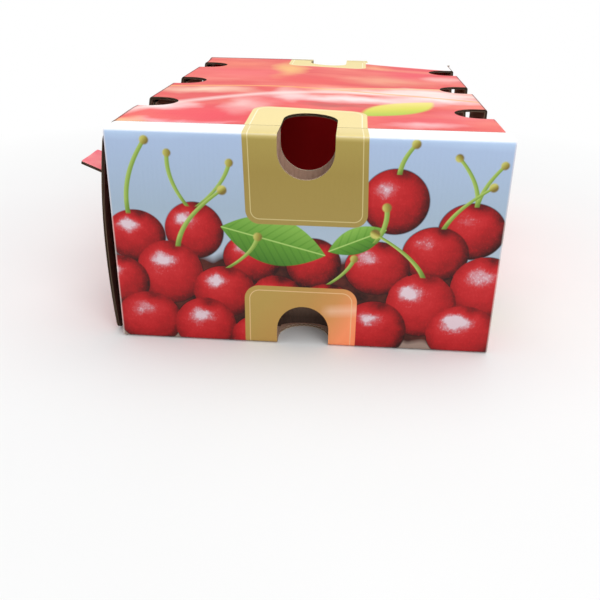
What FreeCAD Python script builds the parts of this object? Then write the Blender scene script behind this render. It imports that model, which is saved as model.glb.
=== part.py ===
import FreeCAD, Part
import math
import os

# Small fruit box folded from printed corrugated board. The tray has a floor, two plain
# side walls and two hollow end walls that roll over a flat rim. The lid folds up from
# the top of the right wall, lies level with the two rims and ends in a closing flap
# that hangs over the left wall. Millimetres, +Z up, +Y towards the back, origin in
# the middle of the tray's floor, on its underside.

# Overall sizes
BOX_WIDTH = 200.0
BOX_LENGTH = 300.0
BOX_HEIGHT = 115.0
BOARD = 1.5
FOLD_RADIUS = 2.0
BOTTOM_FOLD_RADIUS = 1.2

# Tray
RIM_DEPTH = 19.0
SIDE_INSET = 1.0
INNER_WALL_GAP = 0.5
CORNER_TAB_LENGTH = 33.0
CORNER_TAB_TOP_GAP = 2.5
RIM_CORNER_RADIUS = 2.5

# Lid and its closing flap
LID_END_GAP = 0.5
FLAP_TOP_GAP = 0.5
FLAP_FLARE = 5.0
FLAP_END_GAP = 6.0
FLAP_FLOOR_GAP = 1.0
FLAP_EAR_DROP = 2.0
FLAP_CORNER_RADIUS = 4.0
LID_HINGE_ROUND = 1.2

# Hand holes in the middle of each end, from the rim down and on into the lid
HAND_HOLE_WIDTH = 28.6
HAND_HOLE_DEPTH = 22.5
LID_HAND_NOTCH_DEPTH = 28.0

# Vent holes across the long top folds
VENT_WIDTH = 28.0
VENT_PITCH = 83.0
VENT_SIDE_DEPTH = 26.0
VENT_TOP_DEPTH = 20.5

# Notches across the bottom folds
NOTCH_WIDTH = 28.0
NOTCH_HEIGHT = 23.0
NOTCH_FLOOR_DEPTH = 22.0
INNER_WALL_ARCH_RISE = 3.0

# Tab that stands out of the closing flap near its front end
TAB_LENGTH = 28.0
TAB_REACH = 15.0
TAB_TAPER = 1.0
TAB_HEIGHT = 88.5
TAB_TILT = 22.0
TAB_END_GAP = 10.0

HALF_WIDTH = BOX_WIDTH / 2
HALF_LENGTH = BOX_LENGTH / 2
SIDE_FACE = HALF_WIDTH - SIDE_INSET
WALL_TOP = BOX_HEIGHT - BOARD
RIM_BACK = HALF_LENGTH - RIM_DEPTH
VENT_PLACES = (-VENT_PITCH, 0.0, VENT_PITCH)
LID_HALF_LENGTH = RIM_BACK - LID_END_GAP
FLAP_FACE = HALF_WIDTH + FLAP_TOP_GAP + BOARD
FLAP_HALF_LENGTH = HALF_LENGTH - FLAP_END_GAP
CUT_MARGIN = 5.0


def block(low, high):
    """A box between two corners."""
    size = [b - a for a, b in zip(low, high)]
    return Part.makeBox(*size, FreeCAD.Vector(*low))


def plate(corners, thickness_vector):
    """A flat plate from its corner points, thickened along one vector."""
    points = [FreeCAD.Vector(*corner) for corner in corners]
    outline = Part.makePolygon(points + points[:1])
    return Part.Face(outline).extrude(FreeCAD.Vector(*thickness_vector))


def d_cutter(width, depth, thickness):
    """A straight-sided cutter with a round end. It lies in the XY plane, opens
    towards -Y at its mouth on the X axis and reaches depth along +Y."""
    radius = width / 2
    shoulder = depth - radius
    mouth_left = FreeCAD.Vector(-radius, -CUT_MARGIN, 0)
    mouth_right = FreeCAD.Vector(radius, -CUT_MARGIN, 0)
    shoulder_right = FreeCAD.Vector(radius, shoulder, 0)
    shoulder_left = FreeCAD.Vector(-radius, shoulder, 0)
    arc = Part.Arc(shoulder_right, FreeCAD.Vector(0, depth, 0), shoulder_left).toShape()
    wire = Part.Wire([
        Part.makeLine(mouth_left, mouth_right),
        Part.makeLine(mouth_right, shoulder_right),
        arc,
        Part.makeLine(shoulder_left, mouth_left),
    ])
    return Part.Face(wire).extrude(FreeCAD.Vector(0, 0, thickness))


def placed(shape, x_axis, y_axis, origin):
    """The shape moved so that its X and Y axes point along the two given axes."""
    x_axis = FreeCAD.Vector(*x_axis)
    y_axis = FreeCAD.Vector(*y_axis)
    z_axis = x_axis.cross(y_axis)
    matrix = FreeCAD.Matrix(
        x_axis.x, y_axis.x, z_axis.x, origin[0],
        x_axis.y, y_axis.y, z_axis.y, origin[1],
        x_axis.z, y_axis.z, z_axis.z, origin[2],
        0, 0, 0, 1,
    )
    moved = shape.copy()
    moved.Placement = FreeCAD.Placement(matrix)
    return moved


def edges_along(shape, axis, places, tolerance=0.01):
    """Straight edges parallel to one axis that pass through the given places."""
    found = []
    for edge in shape.Edges:
        start = edge.Vertexes[0].Point
        end = edge.Vertexes[-1].Point
        run = end - start
        if run.Length < tolerance or abs(abs(run.normalize()[axis]) - 1) > tolerance:
            continue
        flat = [value for index, value in enumerate(start) if index != axis]
        if any(math.dist(flat, place) < tolerance for place in places):
            found.append(edge)
    return found


def end_wall(sign):
    """One hollow end wall: outer panel, rim and inner panel."""
    outer = sorted((sign * HALF_LENGTH, sign * (HALF_LENGTH - BOARD)))
    rim = sorted((sign * HALF_LENGTH, sign * RIM_BACK))
    inner = sorted((sign * (RIM_BACK + BOARD), sign * RIM_BACK))
    inner_half = SIDE_FACE - BOARD - INNER_WALL_GAP
    panels = [
        block((-HALF_WIDTH, outer[0], 0), (HALF_WIDTH, outer[1], BOX_HEIGHT)),
        block((-HALF_WIDTH, rim[0], WALL_TOP), (HALF_WIDTH, rim[1], BOX_HEIGHT)),
        block((-inner_half, inner[0], BOARD), (inner_half, inner[1], BOX_HEIGHT)),
    ]
    wall = panels[0].fuse(panels[1:]).removeSplitter()
    corners = edges_along(wall, 2, [(side * HALF_WIDTH, sign * RIM_BACK) for side in (-1, 1)])
    wall = wall.makeFillet(RIM_CORNER_RADIUS, corners)
    folds = [(sign * HALF_LENGTH, BOX_HEIGHT)]
    return wall.makeFillet(FOLD_RADIUS, edges_along(wall, 0, folds))


def side_wall(sign):
    """One long side wall with the two corner tabs folded in behind the outer panels."""
    face = sorted((sign * SIDE_FACE, sign * (SIDE_FACE - BOARD)))
    reach = HALF_LENGTH - BOARD
    wall = block((face[0], -reach, 0), (face[1], reach, WALL_TOP))
    tab = sorted((sign * (SIDE_FACE - BOARD), sign * (SIDE_FACE - BOARD - CORNER_TAB_LENGTH)))
    tabs = []
    for end in (-1, 1):
        depth = sorted((end * reach, end * (reach - BOARD)))
        tabs.append(block((tab[0], depth[0], BOARD), (tab[1], depth[1], WALL_TOP - CORNER_TAB_TOP_GAP)))
    return wall.fuse(tabs)


def hand_hole(sign):
    """Cutter for the hand hole that opens through the rim of one end wall."""
    cutter = d_cutter(HAND_HOLE_WIDTH, HAND_HOLE_DEPTH, RIM_DEPTH + 2 * CUT_MARGIN)
    start = (0, sign * (RIM_BACK - CUT_MARGIN), BOX_HEIGHT)
    return placed(cutter, (sign, 0, 0), (0, 0, -1), start)


def end_notch(sign):
    """Cutters for the notch across the bottom fold of one end wall."""
    upright = d_cutter(NOTCH_WIDTH, NOTCH_HEIGHT, BOARD + CUT_MARGIN)
    upright = placed(upright, (sign, 0, 0), (0, 0, 1), (0, sign * (HALF_LENGTH + CUT_MARGIN), 0))
    flat = d_cutter(NOTCH_WIDTH, NOTCH_FLOOR_DEPTH, BOARD)
    flat = placed(flat, (sign, 0, 0), (0, -sign, 0), (0, sign * HALF_LENGTH, BOARD))
    half = NOTCH_WIDTH / 2
    radius = (half ** 2 + INNER_WALL_ARCH_RISE ** 2) / (2 * INNER_WALL_ARCH_RISE)
    arch = Part.makeCylinder(
        radius, BOARD + 2 * CUT_MARGIN,
        FreeCAD.Vector(0, sign * (RIM_BACK - CUT_MARGIN), BOARD + INNER_WALL_ARCH_RISE - radius),
        FreeCAD.Vector(0, sign, 0),
    )
    arch_zone = block(
        (-half, -HALF_LENGTH, BOARD),
        (half, HALF_LENGTH, BOARD + INNER_WALL_ARCH_RISE),
    )
    return [upright, flat, arch.common(arch_zone)]


def side_notch(sign, place, depth):
    """Cutters for one notch across the bottom fold of a long side."""
    upright = d_cutter(NOTCH_WIDTH, NOTCH_HEIGHT, BOARD + depth + CUT_MARGIN)
    start = (sign * (SIDE_FACE + depth + CUT_MARGIN), place, 0)
    upright = placed(upright, (0, -sign, 0), (0, 0, 1), start)
    flat = d_cutter(NOTCH_WIDTH, NOTCH_FLOOR_DEPTH, BOARD)
    flat = placed(flat, (0, -sign, 0), (-sign, 0, 0), (sign * SIDE_FACE, place, BOARD))
    return [upright, flat]


def side_vent(sign, place, face):
    """Cutter for the part of a vent hole that lies in a wall, up to the wall's inner face."""
    reach = FLAP_FLARE + CUT_MARGIN
    upright = d_cutter(VENT_WIDTH, VENT_SIDE_DEPTH, reach + BOARD)
    return placed(upright, (0, sign, 0), (0, 0, -1), (sign * (face + reach), place, BOX_HEIGHT))


def top_vent(sign, place, face):
    """Cutter for the part of a vent hole that lies in the lid's top."""
    flat = d_cutter(VENT_WIDTH, VENT_TOP_DEPTH, BOARD + 2 * CUT_MARGIN)
    return placed(flat, (0, sign, 0), (-sign, 0, 0), (sign * face, place, WALL_TOP - CUT_MARGIN))


def make_tray():
    """Floor, four walls and rims in one sheet, with every hole cut through."""
    floor = block((-SIDE_FACE, -HALF_LENGTH, 0), (SIDE_FACE, HALF_LENGTH, BOARD))
    tray = floor.fuse([end_wall(-1), end_wall(1), side_wall(-1), side_wall(1)]).removeSplitter()
    folds = edges_along(tray, 0, [(-HALF_LENGTH, 0), (HALF_LENGTH, 0)])
    folds += edges_along(tray, 1, [(-SIDE_FACE, 0), (SIDE_FACE, 0)])
    tray = tray.makeFillet(BOTTOM_FOLD_RADIUS, folds)
    cutters = []
    for sign in (-1, 1):
        cutters.append(hand_hole(sign))
        cutters.extend(end_notch(sign))
        for place in VENT_PLACES:
            cutters.append(side_vent(sign, place, SIDE_FACE))
            cutters.extend(side_notch(sign, place, 0))
    return tray.cut(cutters).removeSplitter()


def flap_offset(height):
    """How far the closing flap stands out of upright at a height."""
    run = BOX_HEIGHT - FLAP_FLOOR_GAP
    return FLAP_FLARE * (BOX_HEIGHT - height) / run


def make_flap():
    """The closing flap, leaning out towards its lower edge."""
    top = BOX_HEIGHT
    low = FLAP_FLOOR_GAP
    section = [
        (-FLAP_FACE, -FLAP_HALF_LENGTH, top),
        (-FLAP_FACE - flap_offset(low), -FLAP_HALF_LENGTH, low),
        (-FLAP_FACE - flap_offset(low) + BOARD, -FLAP_HALF_LENGTH, low),
        (-FLAP_FACE + BOARD, -FLAP_HALF_LENGTH, top),
    ]
    return plate(section, (0, 2 * FLAP_HALF_LENGTH, 0))


def flap_trims():
    """What is cut from the flap's corners: the ears' tops and the round corners."""
    reach = FLAP_FLARE + BOARD + CUT_MARGIN
    ear_top = BOX_HEIGHT - FLAP_EAR_DROP
    radius = FLAP_CORNER_RADIUS
    trims = []
    for end in (-1, 1):
        ear = sorted((end * LID_HALF_LENGTH, end * (FLAP_HALF_LENGTH + CUT_MARGIN)))
        low = (-FLAP_FACE - reach, ear[0], ear_top)
        high = (-HALF_WIDTH, ear[1], BOX_HEIGHT + CUT_MARGIN)
        trims.append(block(low, high))
        corner = sorted((end * (FLAP_HALF_LENGTH - radius), end * FLAP_HALF_LENGTH))
        for bottom, top, centre in (
            (ear_top - radius, ear_top, ear_top - radius),
            (FLAP_FLOOR_GAP, FLAP_FLOOR_GAP + radius, FLAP_FLOOR_GAP + radius),
        ):
            square = block((-FLAP_FACE - reach, corner[0], bottom), (-HALF_WIDTH, corner[1], top))
            middle = FreeCAD.Vector(-FLAP_FACE - reach, end * (FLAP_HALF_LENGTH - radius), centre)
            round_part = Part.makeCylinder(radius, 2 * reach, middle, FreeCAD.Vector(1, 0, 0))
            trims.append(square.cut(round_part))
    return trims


def tab_range():
    """The stretch of the flap that the tab is cut from, front to back."""
    start = -FLAP_HALF_LENGTH + TAB_END_GAP
    return start, start + TAB_LENGTH


def make_tab():
    """The small tab bent out of the flap, a tapered plate that rises outwards."""
    start, end = tab_range()
    tilt = math.radians(TAB_TILT)
    root_x = -FLAP_FACE - flap_offset(TAB_HEIGHT) + BOARD
    reach = TAB_REACH + BOARD
    tip_x = root_x - reach * math.cos(tilt)
    tip_z = TAB_HEIGHT + reach * math.sin(tilt)
    corners = [
        (root_x, start, TAB_HEIGHT),
        (tip_x, start + TAB_TAPER, tip_z),
        (tip_x, end - TAB_TAPER, tip_z),
        (root_x, end, TAB_HEIGHT),
    ]
    thickness = (BOARD * math.sin(tilt), 0, BOARD * math.cos(tilt))
    return plate(corners, thickness)


def tab_window():
    """The window that the tab leaves below its root."""
    start, end = tab_range()
    reach = FLAP_FLARE + BOARD + CUT_MARGIN
    corners = [
        (-FLAP_FACE - reach, start, TAB_HEIGHT),
        (-FLAP_FACE - reach, start + TAB_TAPER, TAB_HEIGHT - TAB_REACH),
        (-FLAP_FACE - reach, end - TAB_TAPER, TAB_HEIGHT - TAB_REACH),
        (-FLAP_FACE - reach, end, TAB_HEIGHT),
    ]
    return plate(corners, (2 * reach, 0, 0))


def lid_hand_notch(sign):
    """Cutter for the notch in one end of the lid that opens onto the hand hole."""
    cutter = d_cutter(HAND_HOLE_WIDTH, LID_HAND_NOTCH_DEPTH, BOARD + 2 * CUT_MARGIN)
    start = (0, sign * LID_HALF_LENGTH, WALL_TOP - CUT_MARGIN)
    return placed(cutter, (-sign, 0, 0), (0, -sign, 0), start)


def make_lid():
    """Top panel and closing flap, with the hand notches, vents and tab."""
    panel = block((-FLAP_FACE, -LID_HALF_LENGTH, WALL_TOP), (SIDE_FACE, LID_HALF_LENGTH, BOX_HEIGHT))
    flap = make_flap().cut(flap_trims())
    lid = panel.fuse(flap).removeSplitter()
    lid = lid.makeFillet(FOLD_RADIUS, edges_along(lid, 1, [(-FLAP_FACE, BOX_HEIGHT)]))
    lid = lid.makeFillet(LID_HINGE_ROUND, edges_along(lid, 1, [(SIDE_FACE, BOX_HEIGHT)]))
    cutters = [lid_hand_notch(-1), lid_hand_notch(1), tab_window()]
    for place in VENT_PLACES:
        cutters.append(side_vent(-1, place, FLAP_FACE))
        cutters.append(top_vent(-1, place, FLAP_FACE))
        cutters.append(top_vent(1, place, SIDE_FACE))
        cutters.append(side_notch(-1, place, FLAP_FACE - SIDE_FACE + FLAP_FLARE)[0])
    return lid.cut(cutters).fuse(make_tab()).removeSplitter()


def main():
    """Build both pieces and write each to its own file."""
    os.makedirs("parts", exist_ok=True)
    for name, shape in (("tray", make_tray()), ("lid", make_lid())):
        print(name, "solids", len(shape.Solids), "valid", shape.isValid(), "volume", round(shape.Volume))
        shape.Solids[0].exportStep(os.path.join("parts", name + ".step"))


main()
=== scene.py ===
import math

import bmesh
import bpy
import numpy as np
from mathutils import Matrix, Vector
from mathutils.geometry import delaunay_2d_cdt


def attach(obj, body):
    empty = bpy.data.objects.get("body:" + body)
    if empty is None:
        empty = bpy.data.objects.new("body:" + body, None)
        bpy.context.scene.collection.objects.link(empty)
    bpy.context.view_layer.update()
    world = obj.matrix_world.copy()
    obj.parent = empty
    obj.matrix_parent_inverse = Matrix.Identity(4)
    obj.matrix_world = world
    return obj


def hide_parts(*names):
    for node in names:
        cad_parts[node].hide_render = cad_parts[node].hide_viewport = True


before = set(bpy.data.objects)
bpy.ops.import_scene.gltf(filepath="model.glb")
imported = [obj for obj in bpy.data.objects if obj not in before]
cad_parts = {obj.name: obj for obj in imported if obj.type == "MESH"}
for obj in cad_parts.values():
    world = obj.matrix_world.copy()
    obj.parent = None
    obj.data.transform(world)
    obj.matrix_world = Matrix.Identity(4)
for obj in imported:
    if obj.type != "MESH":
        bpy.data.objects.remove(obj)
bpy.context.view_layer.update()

# Sizes of the box in millimetres
WIDTH = 200.0
LENGTH = 300.0
HEIGHT = 115.0
BOARD = 1.5
HALF_WIDTH = WIDTH / 2
HALF_LENGTH = LENGTH / 2
RIM_BACK = 131.0
SIDE_FACE = 99.0
WALL_TOP = HEIGHT - BOARD
FLAP_TOP_FACE = 102.0
FLAP_FLARE = 5.0
FLAP_FOOT = 1.0
FLAP_HALF_LENGTH = 144.0
EAR_DROP = 2.0
LID_HALF_LENGTH = 130.96
INNER_WALL_HALF = 97.0
FLOOR_SEAM = 96.0
TAB_FOLD = 33.0
TAB_TOP = 111.0

# Folds, measured on the printed face
MAIN_FOLD = 2.0
SIDE_FOLD = 1.9
HINGE_FOLD = 1.5
RIM_BACK_FOLD = 0.25
TONGUE_FOLD = 0.6
FOLD_STEPS = 6
FOLD_APRON = 0.5

# Corners, and the corner tabs' place in their hollow end wall
RIM_CORNER = 2.5
TAB_CORNER = 3.0
FLAP_CORNER = 4.0
TONGUE_CORNER = 1.5
TAB_FLOOR_GAP = 0.3
TAB_SHOULDER = 3.0

# How far a cut runs past the edge that it opens
PAST_EDGE = 5.0

# Cuts
HAND_HOLE = 28.6
HAND_HOLE_DEPTH = 22.5
LID_NOTCH_DEPTH = 28.46
CUT_WIDTH = 28.0
VENT_PITCH = 83.0
VENT_SIDE = 26.0
VENT_TOP = 20.5
NOTCH_SIDE = 23.0
NOTCH_FLOOR = 22.0
ARCH_RISE = 3.0
VENTS = (-VENT_PITCH, 0.0, VENT_PITCH)
ROUND_STEPS = 22
ARCH_STEPS = 10
CORNER_STEPS = 6

# Push-out tab
TONGUE_START = -134.0
TONGUE_LENGTH = 28.0
TONGUE_REACH = 15.0
TONGUE_TAPER = 1.0
TONGUE_HEIGHT = 88.5
TONGUE_TILT = math.radians(22)

# How far the board has sprung out of true
END_BULGE = 0.7
INNER_END_BULGE = 0.8
END_BULGE_REACH = 130.0
WALL_BULGE = 1.3
LID_CROWN = 0.5
LID_SPRING = 2.0
LID_PULL = 3.3
TONGUE_SAG = 0.4

# The left wall leans in as far as the lid is drawn in, less this
WALL_LEAN_FROM = 1.0

# Where the tab's print lies on the lid's blank
TAB_PRINT = 130.0

# How far along the back wall's print lies from the front wall's
BACK_PRINT = 400.0

# Spacing of the mesh's lines, also on the small tab
GRID = 9.0
TONGUE_GRID = 4.0
MM = 0.001


class FoldPath:
    """The line that a sheet's printed face follows in side view: straight runs joined
    by round bends. The printed face is on the right of the way it runs."""

    def __init__(self, corners, radii):
        points = [Vector(corner) for corner in corners]
        self.parts = []
        self.bends = []
        here = points[0]
        walked = 0.0
        for index, radius in enumerate(radii, start=1):
            before = (points[index] - points[index - 1]).normalized()
            after = (points[index + 1] - points[index]).normalized()
            turn = before.angle_signed(after, 0.0) * -1
            trim = radius * math.tan(abs(turn) / 2)
            start = points[index] - before * trim
            run = (start - here).length
            self.parts.append(("run", walked, run, here, before, 0.0, 0.0))
            walked += run
            arc = radius * abs(turn)
            self.parts.append(("bend", walked, arc, start, before, radius, turn))
            self.bends.append((walked, walked + arc))
            walked += arc
            here = points[index] + after * trim
        last = points[-1] - here
        self.parts.append(("run", walked, last.length, here, last.normalized(), 0.0, 0.0))
        self.length = walked + last.length

    def at(self, walked):
        """Point and outward direction at a distance along the line."""
        for kind, start, length, here, heading, radius, turn in self.parts:
            if walked <= start + length + 1e-9:
                break
        step = walked - start
        if kind == "run":
            return here + heading * step, Vector((heading.y, -heading.x))
        side = math.copysign(1.0, turn)
        left = Vector((-heading.y, heading.x)) * side
        centre = here + left * radius
        angle = side * step / radius
        spun = Matrix.Rotation(angle, 2)
        arm = spun @ (-left)
        heading = spun @ heading
        return centre + arm * radius, Vector((heading.y, -heading.x))

    def lines(self):
        """Distances at which the mesh needs a line to bend cleanly."""
        found = []
        for start, end in self.bends:
            found.append(start - FOLD_APRON)
            found.append(end + FOLD_APRON)
            for step in range(FOLD_STEPS + 1):
                found.append(start + (end - start) * step / FOLD_STEPS)
        return found


def even_lines(low, high, spacing=GRID):
    """Evenly spaced grid lines between two limits."""
    count = max(1, round((high - low) / spacing))
    return [low + (high - low) * step / count for step in range(count + 1)]


def rounded(corners, radii):
    """A polygon with its corners rounded, each by its own radius."""
    points = [Vector(corner) for corner in corners]
    outline = []
    for index, radius in enumerate(radii):
        corner = points[index]
        if radius == 0:
            outline.append(tuple(corner))
            continue
        before = (corner - points[index - 1]).normalized()
        after = (points[(index + 1) % len(points)] - corner).normalized()
        turn = -before.angle_signed(after, 0.0)
        trim = radius * math.tan(abs(turn) / 2)
        start = corner - before * trim
        side = math.copysign(1.0, turn)
        centre = start + Vector((-before.y, before.x)) * side * radius
        for step in range(CORNER_STEPS + 1):
            arm = Matrix.Rotation(turn * step / CORNER_STEPS, 2) @ (start - centre)
            outline.append(tuple(centre + arm))
    return outline


def half_round(centre_u, centre_v, radius, first_angle):
    """Half a circle of points, from an angle on."""
    points = []
    for step in range(ROUND_STEPS + 1):
        angle = first_angle + math.pi * step / ROUND_STEPS
        points.append((centre_u + radius * math.cos(angle), centre_v + radius * math.sin(angle)))
    return points


def slot_cut(centre_u, low, high, width, round_low, round_high):
    """A cut along v with straight sides, and a round or square end at each limit."""
    radius = width / 2
    if round_low:
        outline = half_round(centre_u, low + radius, radius, math.pi)
    else:
        outline = [(centre_u - radius, low), (centre_u + radius, low)]
    if round_high:
        outline += half_round(centre_u, high - radius, radius, 0.0)
    else:
        outline += [(centre_u + radius, high), (centre_u - radius, high)]
    return outline


def turned(outline):
    """The same cut with u and v exchanged."""
    return [(v, u) for u, v in reversed(outline)]


def inside(points, polygon):
    """Which of the points lie inside a polygon."""
    result = np.zeros(len(points), dtype=bool)
    x, y = points[:, 0], points[:, 1]
    for (ax, ay), (bx, by) in zip(polygon, polygon[1:] + polygon[:1]):
        if ay == by:
            continue
        crosses = (ay > y) != (by > y)
        result ^= crosses & (x < (bx - ax) * (y - ay) / (by - ay) + ax)
    return result


def blank_triangles(outline, cuts, u_lines, v_lines):
    """The flat blank as corner places and triangles, with its cuts left out."""
    points = []
    edges = []
    for polygon in [outline] + cuts:
        first = len(points)
        count = len(polygon)
        points += polygon
        edges += [(first + step, first + (step + 1) % count) for step in range(count)]
    us = [u for u, _ in outline]
    vs = [v for _, v in outline]
    for u in u_lines:
        edges.append((len(points), len(points) + 1))
        points += [(u, min(vs) - 1), (u, max(vs) + 1)]
    for v in v_lines:
        edges.append((len(points), len(points) + 1))
        points += [(min(us) - 1, v), (max(us) + 1, v)]
    vectors = [Vector(point) for point in points]
    places, _, faces, _, _, _ = delaunay_2d_cdt(vectors, edges, [], 0, 1e-5)
    places = np.array([tuple(place) for place in places])
    faces = np.array(faces)
    centres = places[faces].mean(axis=1)
    kept = inside(centres, outline)
    for cut in cuts:
        kept &= ~inside(centres, cut)
    return places, faces[kept]


def sheet(name, outline, cuts, u_lines, v_lines, place, print_place, finishes, face_finish=None):
    """A folded sheet of board. It is laid out flat, cut, and folded by place(u, v), which
    gives the printed face's point and outward direction. Finishes are for the printed
    face, the plain face, the cut edge and any others that face_finish names."""
    places, faces = blank_triangles(outline, cuts, u_lines, v_lines)
    used = sorted(set(faces.ravel()))
    renumber = {old: new for new, old in enumerate(used)}
    flat = [tuple(places[old]) for old in used]
    faces = [tuple(renumber[corner] for corner in face) for face in faces]
    count = len(flat)
    front, back = [], []
    for u, v in flat:
        point, outward = place(u, v)
        front.append(point * MM)
        back.append((point - outward * BOARD) * MM)
    directed = {(face[i], face[(i + 1) % 3]) for face in faces for i in range(3)}
    rims = [(a, b) for a, b in directed if (b, a) not in directed]
    rims.sort()
    polygons = list(faces)
    polygons += [(c + count, b + count, a + count) for a, b, c in faces]
    polygons += [(a, a + count, b + count, b) for a, b in rims]
    mesh = bpy.data.meshes.new(name)
    mesh.from_pydata(front + back, [], polygons)
    for finish in finishes:
        mesh.materials.append(finish)
    layer = mesh.uv_layers.new(name="blank")
    for index, polygon in enumerate(mesh.polygons):
        polygon.use_smooth = True
        corners = [flat[vertex % count] for vertex in polygon.vertices]
        middle_v = sum(corner[1] for corner in corners) / len(corners)
        for loop, vertex, corner in zip(polygon.loop_indices, polygon.vertices, corners):
            if index < len(faces):
                value = print_place(corner[0], corner[1], middle_v)
            elif index < 2 * len(faces):
                value = corner
            else:
                value = (corner[0] + corner[1] * 0.02, vertex // count)
            layer.data[loop].uv = value
        if index < len(faces):
            polygon.material_index = face_finish(middle_v) if face_finish else 0
        elif index < 2 * len(faces):
            polygon.material_index = 1
        else:
            polygon.material_index = 2
    work = bmesh.new()
    work.from_mesh(mesh)
    bmesh.ops.remove_doubles(work, verts=work.verts, dist=0.002 * MM)
    for edge in work.edges:
        if len(edge.link_faces) == 2 and edge.calc_face_angle(0.0) > math.radians(40):
            edge.smooth = False
    work.to_mesh(mesh)
    work.free()
    piece = bpy.data.objects.new(name, mesh)
    bpy.context.scene.collection.objects.link(piece)
    return piece


def hump(value, middle, half):
    """A smooth rise from 0 at both ends to 1 in the middle."""
    t = (value - middle) / half
    return (1 - t * t) ** 2 if abs(t) < 1 else 0.0


def ease(value):
    """A smooth step from 0 to 1."""
    t = min(1.0, max(0.0, value))
    return t * t * (3 - 2 * t)


# Numbers and colours that run through a material

class Wire:
    """A number at some point of a material, so that its sums read as plain Python."""

    def __init__(self, finish, socket):
        self.finish = finish
        self.socket = socket

    def __add__(self, other):
        return self.finish.sum("ADD", self, other)

    def __sub__(self, other):
        return self.finish.sum("SUBTRACT", self, other)

    def __mul__(self, other):
        return self.finish.sum("MULTIPLY", self, other)

    def __radd__(self, other):
        return self.finish.sum("ADD", other, self)

    def __rsub__(self, other):
        return self.finish.sum("SUBTRACT", other, self)

    def __abs__(self):
        return self.finish.sum("ABSOLUTE", self)

    def most(self, other):
        return self.finish.sum("MAXIMUM", self, other)

    def least(self, other):
        return self.finish.sum("MINIMUM", self, other)

    def wave(self):
        return self.finish.sum("SINE", self)

    def root(self):
        return self.finish.sum("SQRT", self)

    def above(self, edge, soft):
        """0 below the edge, 1 above it, with a soft change between."""
        values = {"Value": self, "From Min": edge - soft / 2, "From Max": edge + soft / 2}
        made = self.finish.node("ShaderNodeMapRange", {"clamp": True}, values)
        return Wire(self.finish, made.outputs[0])

    def below(self, edge, soft):
        return 1 - self.above(edge, soft)

    def between(self, low, high, soft):
        return self.above(low, soft) * self.below(high, soft)


class Nodes:
    """The nodes of a material or of the world."""

    def __init__(self, tree, out):
        self.tree = tree
        self.tree.nodes.clear()
        self.out = self.tree.nodes.new(out)

    def node(self, kind, settings=None, values=None):
        """Any node: its type, its settings, then the values or wires of its sockets."""
        made = self.tree.nodes.new(kind)
        for key, value in (settings or {}).items():
            if key == "stops":
                self.set_stops(made.color_ramp, value)
            else:
                setattr(made, key, value)
        for key, value in (values or {}).items():
            socket = made.inputs[key]
            if isinstance(value, Wire):
                self.tree.links.new(value.socket, socket)
            elif isinstance(value, bpy.types.NodeSocket):
                self.tree.links.new(value, socket)
            else:
                socket.default_value = value
        return made

    def set_stops(self, ramp, stops):
        while len(ramp.elements) > 1:
            ramp.elements.remove(ramp.elements[-1])
        ramp.elements[0].position = stops[0][0]
        ramp.elements[0].color = colour(stops[0][1])
        for position, tone in stops[1:]:
            ramp.elements.new(position).color = colour(tone)

    def sum(self, operation, *values):
        made = self.node("ShaderNodeMath", {"operation": operation}, dict(enumerate(values)))
        return Wire(self, made.outputs[0])

    def join(self, shader):
        """Leads a shader to the output."""
        self.tree.links.new(shader.outputs[0], self.out.inputs[0])


class Finish(Nodes):
    """One material of the box, built node by node."""

    def __init__(self, name):
        self.material = bpy.data.materials.new(name)
        self.material.use_nodes = True
        super().__init__(self.material.node_tree, "ShaderNodeOutputMaterial")

    def vectors(self, operation, *values):
        """Maths on places of the blank."""
        return self.node("ShaderNodeVectorMath", {"operation": operation}, dict(enumerate(values)))

    def mix(self, amount, below, above):
        """One colour laid over another by an amount."""
        values = {0: amount, 6: as_colour(below), 7: as_colour(above)}
        return self.node("ShaderNodeMix", {"data_type": "RGBA"}, values).outputs[2]

    def blend_number(self, amount, below, above):
        values = {0: amount, 2: below, 3: above}
        return Wire(self, self.node("ShaderNodeMix", {"data_type": "FLOAT"}, values).outputs[0])

    def ramp(self, amount, stops):
        return self.node("ShaderNodeValToRGB", {"stops": stops}, {0: amount}).outputs[0]

    def noise(self, where, scale, detail=3.0, rough=0.55):
        values = {"Vector": where, "Scale": scale, "Detail": detail, "Roughness": rough}
        return Wire(self, self.node("ShaderNodeTexNoise", None, values).outputs["Fac"])

    def blank(self):
        """Place on the flat blank in millimetres: both as one vector, then u and v."""
        vector = self.node("ShaderNodeUVMap", {"uv_map": "blank"}).outputs[0]
        split = self.node("ShaderNodeSeparateXYZ", None, {0: vector})
        return vector, Wire(self, split.outputs[0]), Wire(self, split.outputs[1])

    def distance(self, vector, point):
        made = self.vectors("DISTANCE", vector, (point[0], point[1], 0.0))
        return Wire(self, made.outputs["Value"])

    def stretched(self, vector, factors):
        """The blank's place with each direction scaled, for streaks."""
        return self.vectors("MULTIPLY", vector, factors).outputs["Vector"]

    def surface(self, base, roughness, specular, height=None, height_depth=0.0):
        """Joins colour, roughness and relief to the shader."""
        values = {"Base Color": base, "Roughness": roughness, "Specular IOR Level": specular}
        if height is not None:
            bump_values = {"Height": height, "Strength": 1.0, "Distance": height_depth}
            values["Normal"] = self.node("ShaderNodeBump", None, bump_values).outputs[0]
        self.join(self.node("ShaderNodeBsdfPrincipled", None, values))
        return self.material


def colour(code):
    """A screen colour such as a08a3c as linear values with full cover."""
    parts = [int(code[index:index + 2], 16) / 255 for index in (0, 2, 4)]
    linear = [part / 12.92 if part <= 0.04045 else ((part + 0.055) / 1.055) ** 2.4 for part in parts]
    return (*linear, 1.0)


def as_colour(value):
    return colour(value) if isinstance(value, str) else value


# Plain board

FLUTE_PITCH = 2.4
FLUTE_TURN = 2 * math.pi / FLUTE_PITCH

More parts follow.
